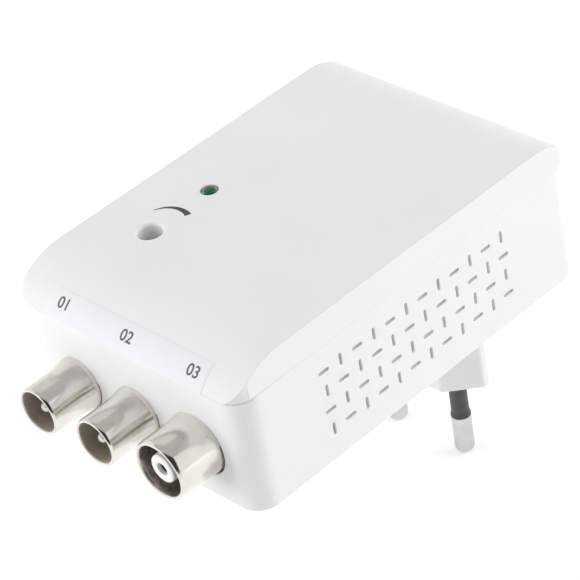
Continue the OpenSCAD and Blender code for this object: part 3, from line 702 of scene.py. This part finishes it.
def rear_of(node, x, y):
    """The part of a port's node that lies behind a plane in the case, with flat faces."""
    mesh = node_copy(node)
    cut(mesh, case_point(x, y, PORT_Z), (0, -1, 0), clear=True)
    for face in mesh.faces:
        face.smooth = False
    return mesh


def make_port(node, name, x, outer, lip, inner, lining):
    """The node's rear, which lies in the case, with a front turned from its profile."""
    mesh = rear_of(node, x, PORT_CUT)
    bands = (len(outer) - 1, len(outer) + len(lip) - 1)
    lathe(mesh, outer + lip + inner, port_place(x), bands)
    add_piece(name, finished(mesh, name), [nickel, nickel_lip_highlight, lining], "case", [node])


def flared(root, radius, start, end, count):
    """The arc from a shell's root to its straight front, between two heights."""
    rise, length = root - radius, end - start
    bend = (rise ** 2 + length ** 2) / (2 * rise)
    sweep = math.degrees(math.asin(length / bend))
    return arc(radius + bend, end, bend, 180 + sweep, 180, count)


def lip_arc(radius, bore, height, stretch, start, end, count):
    """A piece of the round lip between a shell's outside and its bore."""
    half = (radius - bore) / 2
    return arc(bore + half, height, half, start, end, count, stretch)


def at_radius(radius, *heights):
    """Points of a profile that lie at one radius."""
    return [(radius, height) for height in heights]


def make_ports():
    """Both outputs and the input: each shell's outside, the crown of its lip, and its inside."""
    outer = at_radius(OUTPUT_ROOT, -PORT_CUT, 0.0)
    outer += flared(OUTPUT_ROOT, OUTPUT_RADIUS, start=0.4, end=4.5, count=14)
    outer += at_radius(OUTPUT_RADIUS, 6.2, 8.2) + lip_arc(*OUTPUT_LIP, start=0, end=64, count=10)
    lip = lip_arc(*OUTPUT_LIP, start=70, end=140, count=9)
    inner = lip_arc(*OUTPUT_LIP, start=147, end=180, count=4)
    inner += at_radius(OUTPUT_BORE, 8.0, 5.0, 2.0, -PORT_CUT)
    make_port("output_1_shell", "output_1_socket", -PORT_PITCH, outer, lip, inner, output_inside)
    make_port("output_2_shell", "output_2_socket", 0.0, outer, lip, inner, output_inside)
    bore_end = 0.8
    outer = at_radius(INPUT_ROOT, -PORT_CUT, -0.2)
    outer += flared(INPUT_ROOT, INPUT_RADIUS, start=0.0, end=2.6, count=8)
    outer += at_radius(INPUT_RADIUS, 4.5, 6.5) + lip_arc(*INPUT_LIP, start=0, end=66, count=11)
    lip = lip_arc(*INPUT_LIP, start=72, end=130, count=8)
    inner = lip_arc(*INPUT_LIP, start=137, end=180, count=5)
    inner += at_radius(INPUT_BORE, 6.0, 3.0, bore_end) + at_radius(INPUT_REAR_BORE, bore_end, -PORT_CUT)
    make_port("input_shell", "input_jack", PORT_PITCH, outer, lip, inner, input_inside)


def make_nose():
    """The input's insulator: the node's disc in the case, with a nose turned to soft edges."""
    mesh = rear_of("input_insulator", PORT_PITCH, -NOSE_CUT)
    tip, edge, mouth = 8.3, 0.4, 0.22
    profile = at_radius(NOSE_RADIUS, NOSE_CUT, 4.0, 7.7)
    profile += arc(NOSE_RADIUS - edge, tip - edge, edge, start=0, end=90, count=8)
    profile += arc(CONTACT_RADIUS + mouth, tip - mouth, mouth, start=90, end=180, count=6)
    profile += at_radius(CONTACT_RADIUS, 7.5, 7.46)
    lathe(mesh, profile, port_place(PORT_PITCH), steps=64)
    data = finished(mesh, "input_nose")
    add_piece("input_nose", data, [insulator_white], "case", ["input_insulator"])


def make_sleeves():
    """The insulating sleeves, which lean with their pins."""
    for side, label in ((-1, "left"), (1, "right")):
        down = Vector((-side * PIN_LEAN, 0, -1)).normalized()
        across = Vector((0, 1, 0)).cross(down).normalized()
        turn = Matrix((across, Vector((0, 1, 0)), down)).transposed().to_4x4()
        mesh = bmesh.new()
        lathe(mesh, SLEEVE_PROFILE, Matrix.Translation((side * PIN_ROOT / 2 * MM, 0, 0)) @ turn, steps=64)
        name = label + "_pin_sleeve"
        add_piece(name, finished(mesh, name), [sleeve_black], "case", [label + "_sleeve"])


def make_light():
    """The light, whose dome stands a little out of the cover."""
    foot = CASE_TOP + LED_PROUD - LED_HEIGHT
    mesh = bmesh.new()
    lathe(mesh, LIGHT_PROFILE, Matrix.Translation(case_point(CONTROL_X, LED_Y, foot)), steps=64)
    add_piece("power_light", finished(mesh, "power_light"), [led_green], "case", ["power_led"])


# Label and print


def on_roll(x, angle, lift):
    """A point of the cover's front roll, at an angle from its top."""
    reach = LABEL_ROLL + lift
    y = FRONT_FLAT - reach * math.sin(angle)
    return case_point(x, y, CASE_TOP - FRONT_ROLL + reach * math.cos(angle))


def raise_print(mesh):
    """Gives flat print its thickness: a copy of its faces above, and walls between."""
    made = bmesh.ops.extrude_face_region(mesh, geom=mesh.faces[:])
    for vert in [g for g in made["geom"] if isinstance(g, bmesh.types.BMVert)]:
        vert.co.z = PRINT_DEPTH * MM
    bmesh.ops.recalc_face_normals(mesh, faces=mesh.faces)


def make_label():
    """The sticker on the front roll, a sheet that dips into the cover at its edges."""
    half_h = math.radians(LABEL_LOW - LABEL_TOP) * LABEL_ROLL / 2
    middle = math.radians(LABEL_LOW + LABEL_TOP) / 2
    edge = (0.0, 0.02, 0.05, 0.1)
    dip = 0.08

    def steps(half, count):
        inside = half - edge[-1]
        rest = [-inside + 2 * inside * k / count for k in range(count + 1)]
        return [-half + e for e in edge[:-1]] + rest + [half - e for e in reversed(edge[:-1])]

    mesh = bmesh.new()
    columns = steps(LABEL_HALF, 40)
    rows = [[mesh.verts.new((x * MM, y * MM, 0)) for x in columns] for y in steps(half_h, 24)]
    for first, second in zip(rows, rows[1:]):
        for k in range(len(first) - 1):
            mesh.faces.new((first[k], first[k + 1], second[k + 1], second[k]))
    for vert in mesh.verts:
        x, y = vert.co.x / MM, vert.co.y / MM
        reach = max(min(LABEL_HALF - abs(x), half_h - abs(y), edge[-1]) / edge[-1], 0.0)
        vert.co = on_roll(x, middle - y / LABEL_ROLL, dip * (math.sqrt(1 - (1 - reach) ** 2) - 1))
    for face in mesh.faces:
        face.smooth = True
    add_piece("label_sheet", finished(mesh, "label_sheet"), [label_film], "case", ["port_label"])


def figures_mesh(text, size, bolder):
    """Flat figures about the origin, with their size and extra weight in millimetres."""
    curve = bpy.data.curves.new("figures", "FONT")
    curve.body = text
    curve.size = size * MM
    curve.offset = bolder * MM
    curve.align_x = "CENTER"
    curve.align_y = "CENTER"
    holder = bpy.data.objects.new("figures", curve)
    scene.collection.objects.link(holder)
    bpy.context.view_layer.update()
    flat = bpy.data.meshes.new_from_object(holder.evaluated_get(bpy.context.evaluated_depsgraph_get()))
    bpy.data.objects.remove(holder)
    bpy.data.curves.remove(curve)
    mesh = bmesh.new()
    mesh.from_mesh(flat)
    bpy.data.meshes.remove(flat)
    bmesh.ops.remove_doubles(mesh, verts=mesh.verts, dist=FINE_WELD)
    return mesh


def make_number(text, x, angle):
    """Plain figures above a port, cut into rows that follow the label's curve."""
    mesh = figures_mesh(text, size=3.0, bolder=0.045)
    rows, pitch = 6, 0.25
    for k in range(-rows, rows + 1):
        cut(mesh, Vector((0, k * pitch * MM, 0)), (0, 1, 0))
    raise_print(mesh)
    for vert in mesh.verts:
        along, up, lift = (value / MM for value in vert.co)
        vert.co = on_roll(x + along, math.radians(angle) - up / LABEL_ROLL, lift)
    name = "port_number_" + text
    add_piece(name, finished(mesh, name), [print_grey], "case")


def make_ramp():
    """The mark beside the gain hole: an arc that grows wider clockwise."""
    count, start, sweep = 28, 153, 92
    thin, growth = (4.52, 4.68), (-0.12, 0.94)
    behind_hole = 2.7
    mesh = bmesh.new()
    flat = Matrix.Identity(4)
    rows = []
    for k in range(count + 1):
        share = k / count
        angle = math.radians(start - sweep * share)
        rows.append([ring_vert(mesh, flat, r + more * share, angle, 0) for r, more in zip(thin, growth)])
    for first, second in zip(rows, rows[1:]):
        mesh.faces.new((first[0], second[0], second[1], first[1]))
    raise_print(mesh)
    mesh.transform(Matrix.Translation(case_point(CONTROL_X, GAIN_Y + behind_hole, CASE_TOP)))
    add_piece("gain_mark", finished(mesh, "gain_mark"), [print_black], "case")


make_base()
make_cover()
make_plinth()
make_ports()
make_nose()
make_sleeves()
make_light()
make_label()
make_number("01", x=-16.35, angle=39.6)
make_number("02", x=0.0, angle=40.4)
make_number("03", x=16.7, angle=41.0)
make_ramp()


# Camera, light and floor

MIDDLE = Vector((0, -0.028, 0.03))
WORLD_LIGHT = 0.68
FLOOR_LEVEL = -0.0197
FLOOR_HALF = 3.0
FLOOR_GLOW = 0.30
MATT = 0.9


def make_camera():
    """The photograph's view: eye and direction in the part's frame, turned about the line of sight."""
    eye = Vector((312.207, -277.372, 318.046)) * MM
    ahead = Vector((-0.63585, 0.50831, -0.58079)).normalized()
    roll = math.radians(11.279)
    level = ahead.cross(Vector((0, 0, 1))).normalized()
    upright = level.cross(ahead)
    up = upright * math.cos(roll) + level * math.sin(roll)
    right = ahead.cross(up)
    data = bpy.data.cameras.new("camera")
    data.sensor_fit = "HORIZONTAL"
    data.sensor_width = 36
    data.lens = 170.83
    data.clip_start = 0.01
    data.clip_end = 20
    camera = bpy.data.objects.new("camera", data)
    scene.collection.objects.link(camera)
    turn = Matrix((right, up, -ahead)).transposed().to_4x4()
    camera.matrix_world = Matrix.Translation(eye) @ turn
    scene.camera = camera


def shown_rays(nodes, links):
    """1 for the rays that show the background: from the camera, or by way of metal and glass."""
    rays = nodes.new("ShaderNodeLightPath").outputs
    seen = calculate(nodes, links, "MAXIMUM", rays["Is Camera Ray"], rays["Is Glossy Ray"])
    return calculate(nodes, links, "MAXIMUM", seen, rays["Is Transmission Ray"])


def mix_shown(nodes, links, hidden, shown, output):
    """One shader for the rays that show the background, and another for the rest."""
    mix = nodes.new("ShaderNodeMixShader")
    links.new(shown_rays(nodes, links), mix.inputs["Fac"])
    links.new(hidden, mix.inputs[1])
    links.new(shown, mix.inputs[2])
    links.new(mix.outputs["Shader"], output.inputs["Surface"])


def white_light(nodes, strength):
    """A white background of that strength."""
    node = nodes.new("ShaderNodeBackground")
    node.inputs["Color"].default_value = (1, 1, 1, 1)
    node.inputs["Strength"].default_value = strength
    return node.outputs["Background"]


def make_world():
    """White where it shows, and an even, weaker light for everything else."""
    world = bpy.data.worlds.new("studio")
    scene.world = world
    world.use_nodes = True
    nodes, links = world.node_tree.nodes, world.node_tree.links
    nodes.clear()
    shown = white_light(nodes, 1.0)
    light = white_light(nodes, WORLD_LIGHT)
    mix_shown(nodes, links, light, shown, nodes.new("ShaderNodeOutputWorld"))


def facing(azimuth, elevation, distance):
    """A place around the part, turned so that its -Z looks back at it.

    The azimuth counts from the part's right side towards its back."""
    turn, rise = math.radians(azimuth), math.radians(elevation)
    flat = math.cos(rise)
    direction = Vector((flat * math.cos(turn), flat * math.sin(turn), math.sin(rise)))
    back = direction.to_track_quat("Z", "Y").to_matrix().to_4x4()
    return Matrix.Translation(MIDDLE + direction * distance) @ back


def make_lamp(name, azimuth, elevation, distance, size, level):
    """A softbox; level is the light that a white card facing it would send back."""
    data = bpy.data.lights.new(name, "AREA")
    data.shape = "SQUARE"
    data.size = size
    data.energy = level * (math.pi * distance) ** 2
    lamp = bpy.data.objects.new(name, data)
    lamp.visible_glossy = False
    scene.collection.objects.link(lamp)
    lamp.matrix_world = facing(azimuth, elevation, distance)


def sheet(name, half_x, half_y, z):
    """A flat sheet about the origin, at a height."""
    mesh = bpy.data.meshes.new(name)
    corners = [(-half_x, -half_y, z), (half_x, -half_y, z), (half_x, half_y, z), (-half_x, half_y, z)]
    mesh.from_pydata(corners, [], [(0, 1, 2, 3)])
    made = bpy.data.objects.new(name, mesh)
    scene.collection.objects.link(made)
    return made


def matt_material(name, scale, first, second):
    """A grey without shine, which drifts between two levels."""
    material, nodes, links, bsdf = new_material(name)
    cloud = noise(nodes, links, scale)
    links.new(tint(nodes, links, cloud, [first] * 3, [second] * 3), bsdf.inputs["Base Color"])
    bsdf.inputs["Roughness"].default_value = MATT
    bsdf.inputs["Specular IOR Level"].default_value = 0.0
    return material, nodes, links, bsdf


def make_card(name, azimuth, elevation, distance, width, height, shade, glow, dims=True):
    """A card of the studio, out of the picture, that the metal reflects.

    One that dims also keeps some of the world's light off the part."""
    card = sheet(name, width / 2, height / 2, 0)
    card.matrix_world = facing(azimuth, elevation, distance)
    card.visible_camera = False
    card.visible_diffuse = dims
    card.visible_shadow = dims
    material, *_, bsdf = matt_material(name, scale=5, first=shade, second=shade * 1.1)
    bsdf.inputs["Emission Color"].default_value = (1, 0.99, 0.97, 1)
    bsdf.inputs["Emission Strength"].default_value = glow
    card.data.materials.append(material)


def make_floor():
    """A pale floor under the pins, which shows white and keeps the object's shadow."""
    floor = sheet("floor", FLOOR_HALF, FLOOR_HALF, FLOOR_LEVEL)
    material, nodes, links, bsdf = matt_material("floor_white", scale=6, first=0.87, second=0.89)
    glow = nodes.new("ShaderNodeEmission")
    glow.inputs["Strength"].default_value = FLOOR_GLOW
    both = nodes.new("ShaderNodeAddShader")
    links.new(bsdf.outputs["BSDF"], both.inputs[0])
    links.new(glow.outputs["Emission"], both.inputs[1])
    mix_shown(nodes, links, bsdf.outputs["BSDF"], both.outputs["Shader"], nodes["Material Output"])
    floor.data.materials.append(material)


make_camera()
make_world()
make_floor()
make_lamp("right_softbox", azimuth=46, elevation=18, distance=0.8, size=0.7, level=0.68)
make_lamp("left_softbox", azimuth=-125, elevation=18, distance=0.8, size=0.7, level=0.71)
make_card("camera_card", azimuth=-38.6, elevation=35.5, distance=0.8, width=0.6, height=0.6,
          shade=0.03, glow=0.0)
make_card("camera_room", azimuth=-38.6, elevation=35.5, distance=0.84, width=1.3, height=1.2,
          shade=0.03, glow=0.0, dims=False)
make_card("ceiling_card", azimuth=0, elevation=89, distance=0.9, width=1.4, height=1.4,
          shade=0.1, glow=0.44)
make_card("back_card", azimuth=141, elevation=44, distance=0.9, width=0.9, height=0.7,
          shade=0.1, glow=0.66)
